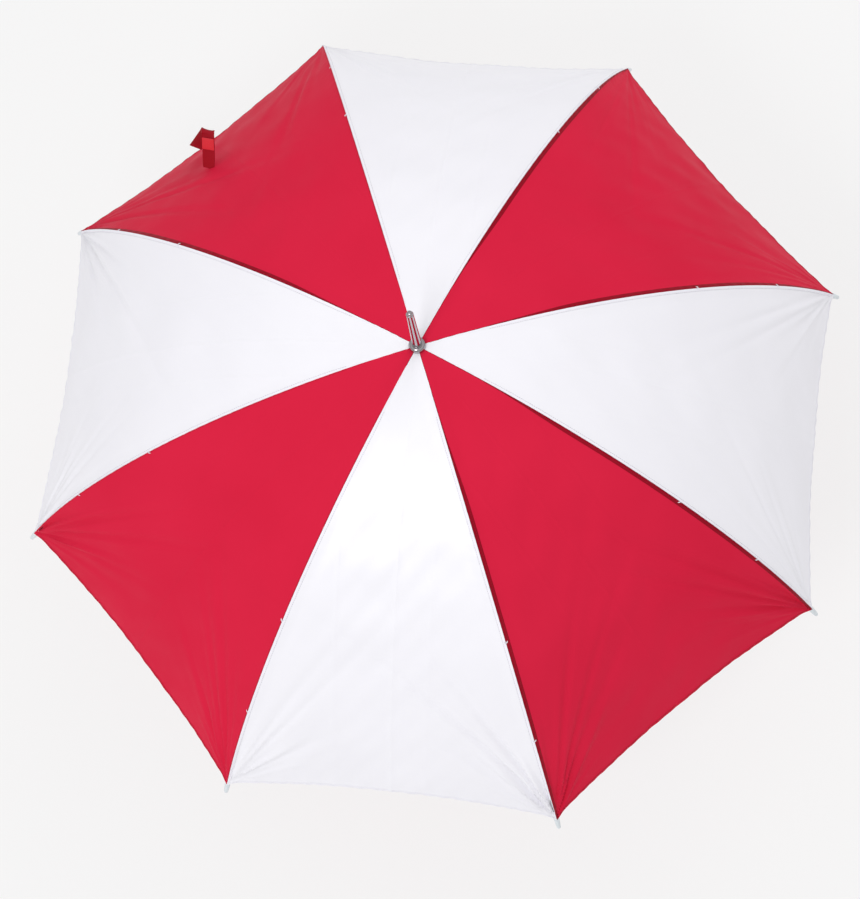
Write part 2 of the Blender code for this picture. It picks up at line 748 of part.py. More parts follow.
# ------------------------------------------------------------------ tie strap
def strap_frame():
    """The strap's own space: origin on the cloth at its stitched end, X backwards, Y across, Z up."""
    foot = panel_point(STRAP_AZIMUTH, CORNER_ANGLE * STRAP_SHARE)
    back = radial(STRAP_FACING + math.pi)
    across = Vector((0.0, 0.0, 1.0)).cross(back)
    turn = Matrix((back, across, Vector((0.0, 0.0, 1.0)))).transposed().to_4x4()
    return Matrix.Translation(foot) @ turn


def strap_course():
    """Places down the strap's middle, each with its width's direction and its front's direction."""
    path = [Vector(point) for point in STRAP_RISE + STRAP_FALL]
    course = []
    for k, centre in enumerate(path):
        along = (path[min(k + 1, len(path) - 1)] - path[max(k - 1, 0)]).normalized()
        across = (Vector((0.0, 1.0, 0.0)) - along * along.y).normalized()
        course.append((centre, across, along.cross(across)))
    return course


def ribbon_mesh(name, course, width, thickness):
    """A flat band with square edges along a course of places."""
    bm = bmesh.new()
    rings = [
        [
            bm.verts.new(centre + across * (side * width / 2) + front * (face * thickness / 2))
            for side, face in ((-1, -1), (1, -1), (1, 1), (-1, 1))
        ]
        for centre, across, front in course
    ]
    for low, high in zip(rings, rings[1:]):
        for k in range(4):
            n = (k + 1) % 4
            bm.faces.new((low[k], low[n], high[n], high[k]))
    bm.faces.new(rings[0])
    bm.faces.new(rings[-1])
    bmesh.ops.triangulate(bm, faces=bm.faces[:])
    return mesh_from_bmesh(name, bm)


def strap_mesh():
    """A ribbon that stands up from the cloth, folds over and comes back down towards the hem."""
    return ribbon_mesh("tie_strap", strap_course(), STRAP_WIDTH, STRAP_THICKNESS)


def patch_mesh():
    """The square of hook tape on the strap's front."""
    low, high = (Vector(point) for point in STRAP_RISE[1:])
    along = (high - low).normalized()
    across = (Vector((0.0, 1.0, 0.0)) - along * along.y).normalized()
    front = along.cross(across)
    thickness = 0.0010
    start = low + along * 0.0010 + front * (STRAP_THICKNESS / 2 + 3 * CLEARANCE + thickness / 2)
    course = [(start, across, front), (start + along * PATCH_SIZE, across, front)]
    return ribbon_mesh("strap_patch", course, PATCH_SIZE, thickness)


# ------------------------------------------------------------------ assembly
def build_frame_and_canopy(steel, plastic, cloths):
    """Ribs, stretchers and canopy panels, each on its rib's pivot. It returns those pivots."""
    rib = rib_mesh()
    tip = tip_mesh()
    rivet = rivet_mesh()
    stretcher = stretcher_mesh()
    sheet = panel_mesh()
    sheets = (sheet, sheet.copy())
    slope = Matrix.Rotation(OPEN_ANGLE - math.pi / 2, 4, "Y")
    from_shaft = Matrix.Translation((-PIVOT_RADIUS, 0.0, -NOTCH_Z)) @ Matrix.Rotation(-HALF_SECTOR, 4, "Z")
    rivet_place = Matrix.Translation((RIVET_OUT, 0.0, -RIVET_DOWN))
    pivots = []
    for k in range(RIB_COUNT):
        number = str(k + 1)
        frame = turned_frame(2 * HALF_SECTOR * k, PIVOT_RADIUS, NOTCH_Z)
        pivot = place_pivot("rib_pivot_" + number, frame)
        place("rib_" + number, rib, steel, pivot)
        place("rib_tip_" + number, tip, plastic, pivot)
        place("canopy_panel_" + number, sheets[k % 2], cloths[k % 2], pivot, from_shaft)
        rivet_pivot = place_pivot("rivet_pivot_" + number, rivet_place, pivot)
        place("rivet_" + number, rivet, steel, rivet_pivot)
        place("stretcher_" + number, stretcher, steel, rivet_pivot, slope)
        pivots.append(pivot)
    return pivots


def build_shaft(steel, chrome, black, white):
    """What is fixed to the shaft between the grip and the ferrule."""
    place("shaft_tube", tube_mesh(), chrome)
    place("ferrule", ferrule_mesh(), chrome)
    place("open_cap", bell_mesh(), chrome)
    place("canopy_rosette", rosette_mesh(), white)
    place("top_notch", notch_mesh(), black)
    place("notch_wire", wire_mesh("notch_wire"), steel, None, Matrix.Translation((0.0, 0.0, NOTCH_Z)))
    place("notch_pin", pin_rod("notch_pin", NOTCH_PIN_Z, NOTCH_PIN_RADIUS, 2 * HUB_WALL_RADIUS), steel)
    stop_length = 2 * TUBE_RADIUS + 4 * STOP_PIN_RADIUS
    place("stop_pin", pin_rod("stop_pin", RUNNER_Z + STOP_PIN_RISE, STOP_PIN_RADIUS, stop_length), chrome)


def build_catches(chrome):
    for name, root, nose in (("top_catch", TOP_CATCH_ROOT, 1), ("bottom_catch", BOTTOM_CATCH_ROOT, -1)):
        pivot = place_pivot(name + "_pivot", turned_frame(CATCH_AZIMUTH, CATCH_ROOT_RADIUS, root))
        place(name, catch_mesh(name, nose), chrome, pivot)


def build_runner(steel, chrome, black):
    pivot = place_pivot("runner_pivot", Matrix.Translation((0.0, 0.0, RUNNER_Z)))
    place("runner_sleeve", runner_sleeve_mesh(), chrome, pivot)
    place("runner_crown", runner_crown_mesh(), black, pivot)
    place("runner_wire", wire_mesh("runner_wire"), steel, pivot)


def build():
    steel = make_material("black_steel", (0.05, 0.05, 0.055), 0.9, 0.35)
    chrome = make_material("chrome", (0.85, 0.85, 0.87), 1.0, 0.08)
    black = make_material("black_plastic", (0.02, 0.02, 0.02), 0.0, 0.4)
    milky = make_material("milky_plastic", (0.82, 0.85, 0.86), 0.0, 0.35)
    white = make_material("white_cloth", (0.90, 0.89, 0.92), 0.0, 0.55)
    red = make_material("red_cloth", (0.62, 0.02, 0.06), 0.0, 0.5)
    red_tape = make_material("red_tape", (0.70, 0.03, 0.04), 0.0, 0.8)
    wood = make_material("varnished_wood", (0.36, 0.16, 0.06), 0.0, 0.3)

    pivots = build_frame_and_canopy(steel, milky, (white, red))
    build_shaft(steel, chrome, black, white)
    build_catches(chrome)
    build_runner(steel, chrome, black)
    place("handle_grip", grip_mesh(), wood)
    place("handle_collar", collar_mesh(), chrome)
    place("handle_end_cap", end_cap_mesh(), chrome)

    strap_pivot = pivots[int(STRAP_AZIMUTH // (2 * HALF_SECTOR)) + 1]
    strap_place = strap_pivot.matrix_local.inverted() @ strap_frame()
    place("tie_strap", strap_mesh(), red, strap_pivot, strap_place)
    place("strap_patch", patch_mesh(), red_tape, strap_pivot, strap_place)


clear_scene()
parts = make_collection("golf_umbrella")
cutters = make_collection("cutters")
build()
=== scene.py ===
"""The looks of an open golf umbrella: sewn canopy, metal fittings, plastic tips and a turned wooden grip.

Rib 1 lies along +X and the others follow every 45 degrees. Gore k is the cloth between rib k - 1 and rib
k. It is cut along its middle, because its halves a and b ride on different ribs.
"""

import json
import math
import random

import bpy
import numpy as np
from mathutils import Matrix, Vector


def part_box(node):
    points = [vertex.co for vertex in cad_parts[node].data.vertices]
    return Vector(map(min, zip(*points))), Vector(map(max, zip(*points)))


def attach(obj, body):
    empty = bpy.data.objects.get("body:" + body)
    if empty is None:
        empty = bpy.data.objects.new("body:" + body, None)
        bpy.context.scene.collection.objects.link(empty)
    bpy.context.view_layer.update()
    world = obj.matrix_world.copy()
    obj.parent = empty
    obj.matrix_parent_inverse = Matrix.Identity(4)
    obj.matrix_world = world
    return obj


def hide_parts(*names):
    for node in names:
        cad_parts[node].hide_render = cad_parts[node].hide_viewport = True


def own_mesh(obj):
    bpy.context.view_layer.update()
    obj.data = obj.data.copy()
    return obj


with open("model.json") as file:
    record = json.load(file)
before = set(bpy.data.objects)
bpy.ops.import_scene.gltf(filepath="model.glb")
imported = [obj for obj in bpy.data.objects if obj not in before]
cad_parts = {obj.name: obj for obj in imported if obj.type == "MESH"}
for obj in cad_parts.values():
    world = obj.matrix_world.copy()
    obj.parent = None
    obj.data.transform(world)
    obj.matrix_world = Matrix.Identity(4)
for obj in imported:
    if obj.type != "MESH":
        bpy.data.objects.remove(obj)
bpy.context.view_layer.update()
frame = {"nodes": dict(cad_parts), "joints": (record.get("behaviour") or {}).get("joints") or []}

# ------------------------------------------------------------------ from the frame
RIBS = 8
SECTOR = 2 * math.pi / RIBS
JOINTS = {joint["name"]: joint for joint in frame["joints"]}
PIVOT_RADIUS = JOINTS["canopy_fold"]["pos_m"][0]
NOTCH_Z = JOINTS["canopy_fold"]["pos_m"][2]
CROWN_Z = NOTCH_Z + 0.0058                      # top of the cloth at the shaft
FERRULE_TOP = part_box("ferrule")[1].z
CAP_LOW, CAP_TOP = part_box("open_cap")[0].z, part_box("open_cap")[1].z
CAP_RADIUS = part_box("open_cap")[1].x
GRIP_LOW, GRIP_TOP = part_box("handle_grip")[0].z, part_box("handle_grip")[1].z
GRIP_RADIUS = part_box("handle_grip")[1].x
COLLAR_LOW, COLLAR_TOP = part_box("handle_collar")[0].z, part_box("handle_collar")[1].z
COLLAR_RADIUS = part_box("handle_collar")[1].x
TUBE_RADIUS = 0.0060

# the canopy's dome, on which the seams lie
CORNER_RADIUS = 0.622
DOME_RISE = 0.58 * CORNER_RADIUS
DOME_RADIUS = (CORNER_RADIUS**2 + DOME_RISE**2) / (2 * DOME_RISE)
CORNER_ANGLE = math.asin(CORNER_RADIUS / DOME_RADIUS)
DOME_Z = CROWN_Z - DOME_RADIUS
ARC = DOME_RADIUS * CORNER_ANGLE                # a seam's length
CROWN_HOLE = 0.0074                             # radius of the hole in the cloth at the shaft
CLOTH = 0.0005                                  # its thickness
SEAM_GAP = 0.00025                              # from a gore's edge to the rib's middle plane
SAG = 0.0108                                    # a gore's dip under its chord, at the hem
# how far each gore's hem is cut back in its middle, as a share of the arc
HEM_CUT = {1: 0.008, 2: 0.005, 3: 0.008, 4: 0.004, 5: 0.008, 6: 0.010, 7: 0.009, 8: 0.012}
SPIKE = 0.009                                   # the cloth's narrow ends over the tips
SPIKE_WIDTH = 0.04
HEM_WIDTH = 0.0085                              # the turned hem
TACK_PLACES = (0.55, 0.77)                      # thread tacks, as shares of the seam
GRADING = 1.3                                   # how much a gore's grid crowds towards its hem and seam
STITCH_RADIUS = 0.00018
THREAD_RADIUS = 0.00020

# by gore and side: the red seams whose felled edge shows as a band of painted shade, dark where the seam's
# ridge would shade the cloth, and how strongly a corner folds
PAINTED_SHADE_FELLS = ((2, -1), (2, 1), (4, 1), (8, -1), (8, 1))
USUAL_LOOSENESS = 0.55
LOOSE_CORNERS = {
    (8, -1): 1.5,
    (8, 1): 1.2,
    (7, 1): 1.7,
    (7, -1): 1.0,
    (6, -1): 1.2,
    (6, 1): 0.9,
    (4, 1): 0.7,
    (5, -1): 1.0,
}


def is_white(gore):
    return gore % 2 == 1


def neighbour(gore, side):
    """The rib at a gore's side: its own rib at side 1, the one before it at side -1."""
    return gore if side > 0 else (gore - 2) % RIBS + 1


# ------------------------------------------------------------------ mesh tools
def smooth_object(name, mesh, material, angle=40):
    mesh.materials.append(material)
    mesh.shade_smooth()
    mesh.set_sharp_from_angle(angle=math.radians(angle))
    item = bpy.data.objects.new(name, mesh)
    bpy.context.scene.collection.objects.link(item)
    return item


def grid_faces(rows, columns, offset=0, closed=False):
    """Quads of a grid of points, rows by columns; closed joins the last column to the first."""
    r, c = np.meshgrid(np.arange(rows - 1), np.arange(columns if closed else columns - 1), indexing="ij")
    right = (c + 1) % columns
    quads = np.stack(
        (r * columns + c, r * columns + right, (r + 1) * columns + right, (r + 1) * columns + c), axis=-1
    )
    return quads.reshape(-1, 4) + offset


def mesh_from_arrays(name, points, faces):
    mesh = bpy.data.meshes.new(name)
    mesh.from_pydata(np.asarray(points, float).reshape(-1, 3), [], [list(map(int, f)) for f in faces])
    mesh.validate()
    mesh.update()
    return mesh


def unit(vectors):
    return vectors / np.linalg.norm(vectors, axis=-1, keepdims=True)


def surface_normals(points):
    down = np.gradient(points, axis=0)
    over = np.gradient(points, axis=1)
    normals = np.cross(down, over)
    return normals / np.maximum(np.linalg.norm(normals, axis=-1, keepdims=True), 1e-12)


def slab_mesh(name, points, thickness):
    """A closed sheet whose face is the grid of points and whose back lies a thickness behind it."""
    rows, columns = points.shape[:2]
    normals = surface_normals(points)
    back = points - normals * np.asarray(thickness, float).reshape(-1, 1, 1)
    count = rows * columns
    front_faces = grid_faces(rows, columns)
    back_faces = grid_faces(rows, columns, count)[:, ::-1]
    index = np.arange(count).reshape(rows, columns)
    loop = np.concatenate((index[0, :-1], index[:-1, -1], index[-1, :0:-1], index[:0:-1, 0]))
    after = np.roll(loop, -1)
    rim = np.stack((after, loop, loop + count, after + count), axis=-1)
    faces = np.concatenate((front_faces, back_faces, rim))
    return mesh_from_arrays(name, np.concatenate((points.reshape(-1, 3), back.reshape(-1, 3))), faces)


def weave_places(mesh, across, along):
    """Places on a slab in metres across and along the weave, the same for its face and its back."""
    layer = mesh.uv_layers.new(name="cloth")
    flat = np.stack(np.broadcast_arrays(across, along), axis=-1).reshape(-1, 2)
    index = np.zeros(len(mesh.loops), np.int32)
    mesh.loops.foreach_get("vertex_index", index)
    layer.data.foreach_set("uv", np.concatenate((flat, flat))[index].astype(np.float32).ravel())


def turned_mesh(name, profile, steps=64):
    """Turn (radius, height) points about Z, outer side from top to bottom; radius 0 closes an end."""
    points, faces, rings = [], [], []
    angles = np.linspace(0, 2 * math.pi, steps, endpoint=False)
    for radius, height in profile:
        first = len(points)
        if radius < 1e-7:
            points.append((0.0, 0.0, height))
            rings.append([first] * steps)
        else:
            points += [(radius * math.cos(a), radius * math.sin(a), height) for a in angles]
            rings.append(list(range(first, first + steps)))
    pairs = list(zip(rings, rings[1:]))
    if profile[0][0] > 1e-7:
        pairs.append((rings[-1], rings[0]))
    for upper, lower in pairs:
        for k in range(steps):
            n = (k + 1) % steps
            corners = [upper[k], lower[k], lower[n], upper[n]]
            faces.append(list(dict.fromkeys(corners)))
    return mesh_from_arrays(name, points, faces)


def arc(centre, radius, first, last, count=6):
    """Points on an arc from one angle to another, in degrees."""
    return [
        (centre[0] + radius * math.cos(math.radians(a)), centre[1] + radius * math.sin(math.radians(a)))
        for a in np.linspace(first, last, count)
    ]


def tube_mesh(name, paths, radius, sides=5):
    """Round threads along paths, each an array of points, with pointed ends, as one mesh."""
    all_points, all_faces, offset = [], [], 0
    turn = np.linspace(0, 2 * math.pi, sides, endpoint=False)
    for path in paths:
        path = np.asarray(path, float)
        along = unit(np.gradient(path, axis=0))
        guide = np.where(np.abs(along[:, 2:3]) > 0.9, (1.0, 0.0, 0.0), (0.0, 0.0, 1.0))
        side = unit(np.cross(along, guide))
        up = np.cross(side, along)
        width = np.full(len(path), radius)
        width[[0, -1]] = radius * 0.55
        ring = (
            path[:, None]
            + width[:, None, None]
            * (np.cos(turn)[None, :, None] * side[:, None] + np.sin(turn)[None, :, None] * up[:, None])
        )
        all_points.append(ring.reshape(-1, 3))
        all_faces += grid_faces(len(path), sides, offset, closed=True)[:, ::-1].tolist()
        all_faces.append([offset + k for k in range(sides)])
        all_faces.append([offset + (len(path) - 1) * sides + k for k in range(sides)][::-1])
        offset += len(path) * sides
    return mesh_from_arrays(name, np.concatenate(all_points), all_faces)


# ------------------------------------------------------------------ material tools
def new_material(name, color, roughness, metallic=0.0):
    material = bpy.data.materials.new(name)
    material.use_nodes = True
    shader = material.node_tree.nodes["Principled BSDF"]
    shader.inputs["Base Color"].default_value = (*color, 1.0)
    shader.inputs["Roughness"].default_value = roughness
    shader.inputs["Metallic"].default_value = metallic
    return material, material.node_tree, shader


def node(tree, kind, **values):
    """A node with its properties or its sockets set by name."""
    item = tree.nodes.new(kind)
    for key, value in values.items():
        if hasattr(item, key):
            setattr(item, key, value)
        else:
            item.inputs[key.replace("_", " ")].default_value = value
    return item


def noise(tree, vector, scale, detail=3.0):
    item = node(tree, "ShaderNodeTexNoise", Scale=scale, Detail=detail)
    tree.links.new(vector, item.inputs["Vector"])
    return item.outputs["Fac"]


def mapped(tree, factor, low, high):
    """The factor's middle range stretched to run from low to high."""
    item = node(tree, "ShaderNodeMapRange", From_Min=0.3, From_Max=0.7, To_Min=low, To_Max=high)
    tree.links.new(factor, item.inputs["Value"])
    return item.outputs["Result"]


def mixed_color(tree, factor, first, second):
    """A colour that runs from the first to the second; 6 and 7 are the node's two colour sockets."""
    item = node(tree, "ShaderNodeMix", data_type="RGBA")
    item.inputs[6].default_value = (*first, 1.0)
    item.inputs[7].default_value = (*second, 1.0)
    tree.links.new(factor, item.inputs[0])
    return item.outputs[2]


def bump(tree, shader, height, strength, distance):
    item = node(tree, "ShaderNodeBump", Strength=strength, Distance=distance)
    tree.links.new(height, item.inputs["Height"])
    tree.links.new(item.outputs["Normal"], shader.inputs["Normal"])


def object_space(tree):
    return node(tree, "ShaderNodeTexCoord").outputs["Object"]


def cloth_material(name, color, shade, roughness, gloss, tint):
    """Fine satin cloth: a woven grain along the gore, slow changes of shade and a soft gloss."""
    material, tree, shader = new_material(name, color, roughness)
    place = object_space(tree)
    patches = mapped(tree, noise(tree, place, 7.0), 0.0, 1.0)
    tree.links.new(mixed_color(tree, patches, color, shade), shader.inputs["Base Color"])
    sheen = mapped(tree, noise(tree, place, 26.0), roughness - 0.04, roughness + 0.05)
    tree.links.new(sheen, shader.inputs["Roughness"])
    uv = node(tree, "ShaderNodeUVMap", uv_map="cloth").outputs["UV"]
    weave = node(tree, "ShaderNodeMath", operation="ADD")
    for socket, direction in zip(weave.inputs, "XY"):
        threads = node(tree, "ShaderNodeTexWave", bands_direction=direction, Scale=620.0, Distortion=0.6)
        tree.links.new(uv, threads.inputs["Vector"])
        tree.links.new(threads.outputs["Fac"], socket)
    bump(tree, shader, weave.outputs["Value"], 0.12, 0.0001)
    shader.inputs["Specular IOR Level"].default_value = gloss
    shader.inputs["Specular Tint"].default_value = (*tint, 1.0)
    return material


def metal_material(name, color, roughness, wear):
    """Polished plating with faint smudges and fine scratches along it."""
    material, tree, shader = new_material(name, color, roughness, 1.0)
    place = object_space(tree)
    stretched = node(tree, "ShaderNodeMapping", Scale=(900.0, 900.0, 14.0))
    tree.links.new(place, stretched.inputs["Vector"])
    scratches = noise(tree, stretched.outputs["Vector"], 1.0, 2.0)
    smudges = noise(tree, place, 60.0)
    tree.links.new(mapped(tree, smudges, roughness, roughness + wear), shader.inputs["Roughness"])
    bump(tree, shader, scratches, 0.05, 0.0001)
    return material


def plastic_material(name, color, shade, roughness, scale):
    """Plastic, enamel or thread: a fine grain in its shade, its gloss and its surface."""
    material, tree, shader = new_material(name, color, roughness)
    place = object_space(tree)
    grain = noise(tree, place, scale)
    patches = mapped(tree, grain, 0.0, 1.0)
    tree.links.new(mixed_color(tree, patches, color, shade), shader.inputs["Base Color"])
    tree.links.new(mapped(tree, grain, roughness, roughness + 0.1), shader.inputs["Roughness"])
    bump(tree, shader, noise(tree, place, scale * 9), 0.06, 0.0002)
    return material


def wood_material():
    """Varnished beech, with its grain along the shaft."""
    dark, light = (0.13, 0.045, 0.016), (0.33, 0.14, 0.05)
    material, tree, shader = new_material("varnished_wood", light, 0.28)
    place = object_space(tree)
    long = node(tree, "ShaderNodeMapping", Scale=(150.0, 150.0, 7.0))
    tree.links.new(place, long.inputs["Vector"])
    rings = node(tree, "ShaderNodeTexWave", wave_type="BANDS", Scale=0.35, Distortion=9.0, Detail=3.0)
    tree.links.new(long.outputs["Vector"], rings.inputs["Vector"])
    pores = noise(tree, long.outputs["Vector"], 3.0, 4.0)
    blend = node(tree, "ShaderNodeMath", operation="MULTIPLY")
    tree.links.new(rings.outputs["Fac"], blend.inputs[0])
    tree.links.new(mapped(tree, pores, 0.5, 1.1), blend.inputs[1])
    tree.links.new(mixed_color(tree, blend.outputs["Value"], dark, light), shader.inputs["Base Color"])
    tree.links.new(mapped(tree, pores, 0.24, 0.36), shader.inputs["Roughness"])
    bump(tree, shader, pores, 0.05, 0.0002)
    shader.inputs["Coat Weight"].default_value = 0.6
    shader.inputs["Coat Roughness"].default_value = 0.12
    return material


def tape_material():
    """Hook tape: a dense field of tiny plastic hooks."""
    color, shade = (0.78, 0.022, 0.040), (0.62, 0.014, 0.028)
    material, tree, shader = new_material("red_tape", color, 0.55)
    place = object_space(tree)
    cells = node(tree, "ShaderNodeTexVoronoi", Scale=1500.0)
    tree.links.new(place, cells.inputs["Vector"])
    tree.links.new(mixed_color(tree, cells.outputs["Distance"], color, shade), shader.inputs["Base Color"])
    bump(tree, shader, cells.outputs["Distance"], 0.5, 0.0004)
    return material


WHITE = cloth_material("white_cloth", (0.89, 0.88, 0.93), (0.87, 0.86, 0.91), 0.38, 0.6, (1.0, 1.0, 1.0))
RED = cloth_material("red_cloth", (0.67, 0.018, 0.055), (0.64, 0.016, 0.050), 0.50, 0.03, (1.0, 0.3, 0.4))
WHITE_SEAM = cloth_material("white_seam", (0.90, 0.88, 0.94), (0.86, 0.84, 0.91), 0.50, 0.3, (1.0, 1.0, 1.0))
# painted shade: the felled edges' dark crimson stands for the shadow that a seam's ridge casts on the cloth
# beside it
PAINTED_SHADE_SEAM = cloth_material("red_seam_painted_shade", (0.30, 0.006, 0.018), (0.26, 0.005, 0.015), 0.50, 0.1, (1.0, 0.2, 0.3))
# painted shade: the whole ribbon is a darker red than the canopy's cloth, for the shade on its underside and
# inside its fold
PAINTED_SHADE_RIBBON = cloth_material("red_ribbon_painted_shade", (0.36, 0.010, 0.020), (0.30, 0.008, 0.016), 0.50, 0.2, (1.0, 0.3, 0.4))
THREAD_GREY = plastic_material("grey_thread", (0.42, 0.41, 0.45), (0.34, 0.33, 0.37), 0.6, 500.0)
THREAD_RED = plastic_material("red_thread", (0.33, 0.006, 0.015), (0.26, 0.005, 0.012), 0.6, 500.0)
THREAD_WHITE = plastic_material("white_thread", (0.88, 0.87, 0.92), (0.78, 0.77, 0.84), 0.6, 500.0)
CHROME = metal_material("chrome_plate", (0.40, 0.37, 0.39), 0.05, 0.06)
BLACK_STEEL = plastic_material("black_enamel", (0.020, 0.020, 0.022), (0.030, 0.030, 0.032), 0.28, 240.0)
MILKY = plastic_material("milky_plastic", (0.66, 0.72, 0.76), (0.72, 0.77, 0.80), 0.30, 160.0)
BLACK_PLASTIC = plastic_material("black_plastic", (0.018, 0.018, 0.019), (0.026, 0.026, 0.027), 0.42, 400.0)
WOOD = wood_material()
TAPE = tape_material()

# ------------------------------------------------------------------ canopy surface
dice = random.Random(11)
WAVES = {
    gore: [
        (dice.uniform(0, 2 * math.pi), dice.uniform(0.8, 1.2), dice.uniform(-0.5, 0.5))
        for _ in range(10)
    ]
    for gore in range(1, RIBS + 1)
}


def hem_share(gore, v):
    """How far the cloth reaches along the seam's arc, as a share of it, across the gore."""
    inset = 1 - np.abs(v)
    return 1.0 - HEM_CUT[gore] * (1 - v**2) - SPIKE * (1 - np.exp(-inset / SPIKE_WIDTH))


# the cloth's folds: heights, lengths and pitches in metres
PLEAT_HEIGHT = 0.0016                           # fine folds that fan out of a corner
PLEAT_REACH = 0.05                              # where they are highest
FOLD_LENGTH = 0.12                              # the long folds from a corner
PUCKER_HEIGHT = 0.00022                         # small puckers along a seam
PUCKER_PITCH = 0.017
SEAM_DIP = 0.0007                               # the hollow beside a seam
RIPPLES = (                                     # slope across the gore, length, height
    (0.55, 0.095, 0.00055),
    (-0.42, 0.120, 0.00050),
    (1.6, 0.070, 0.00028),
)
CREASE_WIDTH = 0.0013                           # lengthwise creases, pressed in when it was folded
MIDDLE_CREASE = 0.00070
SIDE_CREASE = 0.00060
WHITE_GATHER = 0.0006                           # the ripples that the hem's sewing draws up
RED_GATHER = 0.0003
GATHER_PITCH = 0.021


def ease(value):
    """A smooth step from 0 to 1."""
    value = np.clip(value, 0, 1)
    return value * value * (3 - 2 * value)


def corner_pleats(gore, side, along_seam, from_seam):
    """Tension folds that fan out of a corner of the gore, where the tip pulls on it."""
    phase = WAVES[gore][0 if side > 0 else 1][0]
    loose = LOOSE_CORNERS.get((gore, side), USUAL_LOOSENESS)
    reach = np.hypot(along_seam, from_seam)
    bearing = np.arctan2(from_seam, np.maximum(along_seam, 1e-6))
    fan = np.cos(15.0 * (bearing + 0.12 * np.sin(reach * 20 + phase)) + phase)
    fan += 0.5 * np.cos(27.0 * bearing + 2 * phase)
    height = PLEAT_HEIGHT * loose * fan * (reach / PLEAT_REACH) * np.exp(1 - reach / PLEAT_REACH)
    height = height * ease((1.25 - bearing) / 0.40)
    for number in range(5):
        turn, scale, bend = WAVES[gore][5 + (number if side > 0 else (number + 2) % 5)]
        middle = 0.10 + 0.155 * number + 0.05 * bend + (0.7 * bend + 0.2) * reach
        spread = np.hypot((0.020 + 0.012 * scale) * reach, 0.0026)
        length = FOLD_LENGTH * scale * (1.35 if number in (1, 2) else 0.75)
        off = (bearing - middle) * reach / spread
        fold = np.exp(-(off**2)) - 0.45 * np.exp(-((off / 2.4) ** 2))
        height -= 1.5 * loose * spread * fold * np.exp(-((reach / length) ** 1.5)) * ease(reach / 0.03)
    return height * ease(from_seam / (0.0015 + 0.05 * reach))


def relief(gore, a, v, half_width):
    """The cloth's folds, in metres out from its smooth surface."""
    from_crown, from_hem = a * ARC, (1 - a) * ARC
    height = np.zeros_like(a)
    for side in (-1, 1):
        from_seam = (1 - side * v) * half_width
        height += corner_pleats(gore, side, from_hem, from_seam)
        phase, size, _ = WAVES[gore][2 if side > 0 else 3]
        pucker = np.sin(2 * math.pi * from_crown / PUCKER_PITCH + phase + 1.6 * np.sin(from_crown * 31))
        height += PUCKER_HEIGHT * size * pucker * np.exp(-from_seam / 0.010)
        height -= SEAM_DIP * np.exp(-(((from_seam - 0.016) / 0.010) ** 2)) * np.minimum(a / 0.1, 1)
    width = v * half_width
    for number, (slope, length, size) in enumerate(RIPPLES):
        phase, scale, _ = WAVES[gore][4 + number]
        ripple = np.sin(2 * math.pi * (from_crown + slope * width) / (length * scale) + phase)
        height += size * ripple * (1 - v**2) * np.minimum(a / 0.25, 1)
    height += MIDDLE_CREASE * np.exp(-np.abs(width - 0.0006) / CREASE_WIDTH) * ease(a / 0.4)
    for middle in (0.055 + 0.03 * WAVES[gore][8][2], -0.07 + 0.03 * WAVES[gore][9][2]):
        crease = SIDE_CREASE * np.exp(-np.abs(width - middle) / CREASE_WIDTH)
        height += crease * ease(a / 0.4) * ease((half_width - abs(middle)) / 0.03)
    gather = np.sin(2 * math.pi * width / GATHER_PITCH + 2.2 * np.sin(width * 23 + WAVES[gore][4][0]))
    gather = (WHITE_GATHER if is_white(gore) else RED_GATHER) * gather * np.exp(-from_hem / 0.013)
    return height + gather * ease((half_width - np.abs(width)) / 0.05)


def hem_roll(a):
    """The turned hem's extra height."""
    inside = (1 - a) * ARC
    return 0.00038 / (1 + np.exp((inside - HEM_WIDTH) / 0.0006))


def gore_points(gore, a, v, lift=0.0):
    """Points of a gore's face: a runs from crown to hem, v from -1 to 1 between its seams."""
    a, v = np.broadcast_arrays(np.asarray(a, float), np.asarray(v, float))
    crown = math.asin(CROWN_HOLE / DOME_RADIUS)
    angle = crown + (CORNER_ANGLE * hem_share(gore, v) - crown) * a
    out = DOME_RADIUS * np.sin(angle)
    half_width = out * math.sin(SECTOR / 2)
    dip = SAG * out / CORNER_RADIUS * (1 - v**2)
    raised = lift + relief(gore, a, v, half_width) + hem_roll(a) - dip
    x = out * math.cos(SECTOR / 2) + raised * np.sin(angle)
    y = v * (half_width - SEAM_GAP)
    z = DOME_Z + DOME_RADIUS * np.cos(angle) + raised * np.cos(angle)
    turn = (gore - 1) * SECTOR - SECTOR / 2
    x, y = x * math.cos(turn) - y * math.sin(turn), x * math.sin(turn) + y * math.cos(turn)
    return np.stack((x, y, z), axis=-1)


def seam_points(gore, side, a, inset, lift):
    """Points of a gore's face at a distance from one of its seams."""
    half_width = DOME_RADIUS * np.sin(np.maximum(a, 0.004) * CORNER_ANGLE) * math.sin(SECTOR / 2)
    return gore_points(gore, a, side * (1 - np.minimum(inset / half_width, 0.9)), lift)


# ------------------------------------------------------------------ canopy pieces
def fold_with(item, rib):
    """The piece moves with a rib and gets a mesh of its own."""
    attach(item, "rib_%d" % rib)
    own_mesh(item)
    return item


def canopy_piece(kind, gore, side, mesh, material, angle=40):
    """A piece of half a gore, which moves with the rib at its seam."""
    item = smooth_object("%s_%d_%s" % (kind, gore, "b" if side > 0 else "a"), mesh, material, angle)
    if kind == "gore":
        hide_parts("canopy_panel_%d" % gore)
    return fold_with(item, neighbour(gore, side))


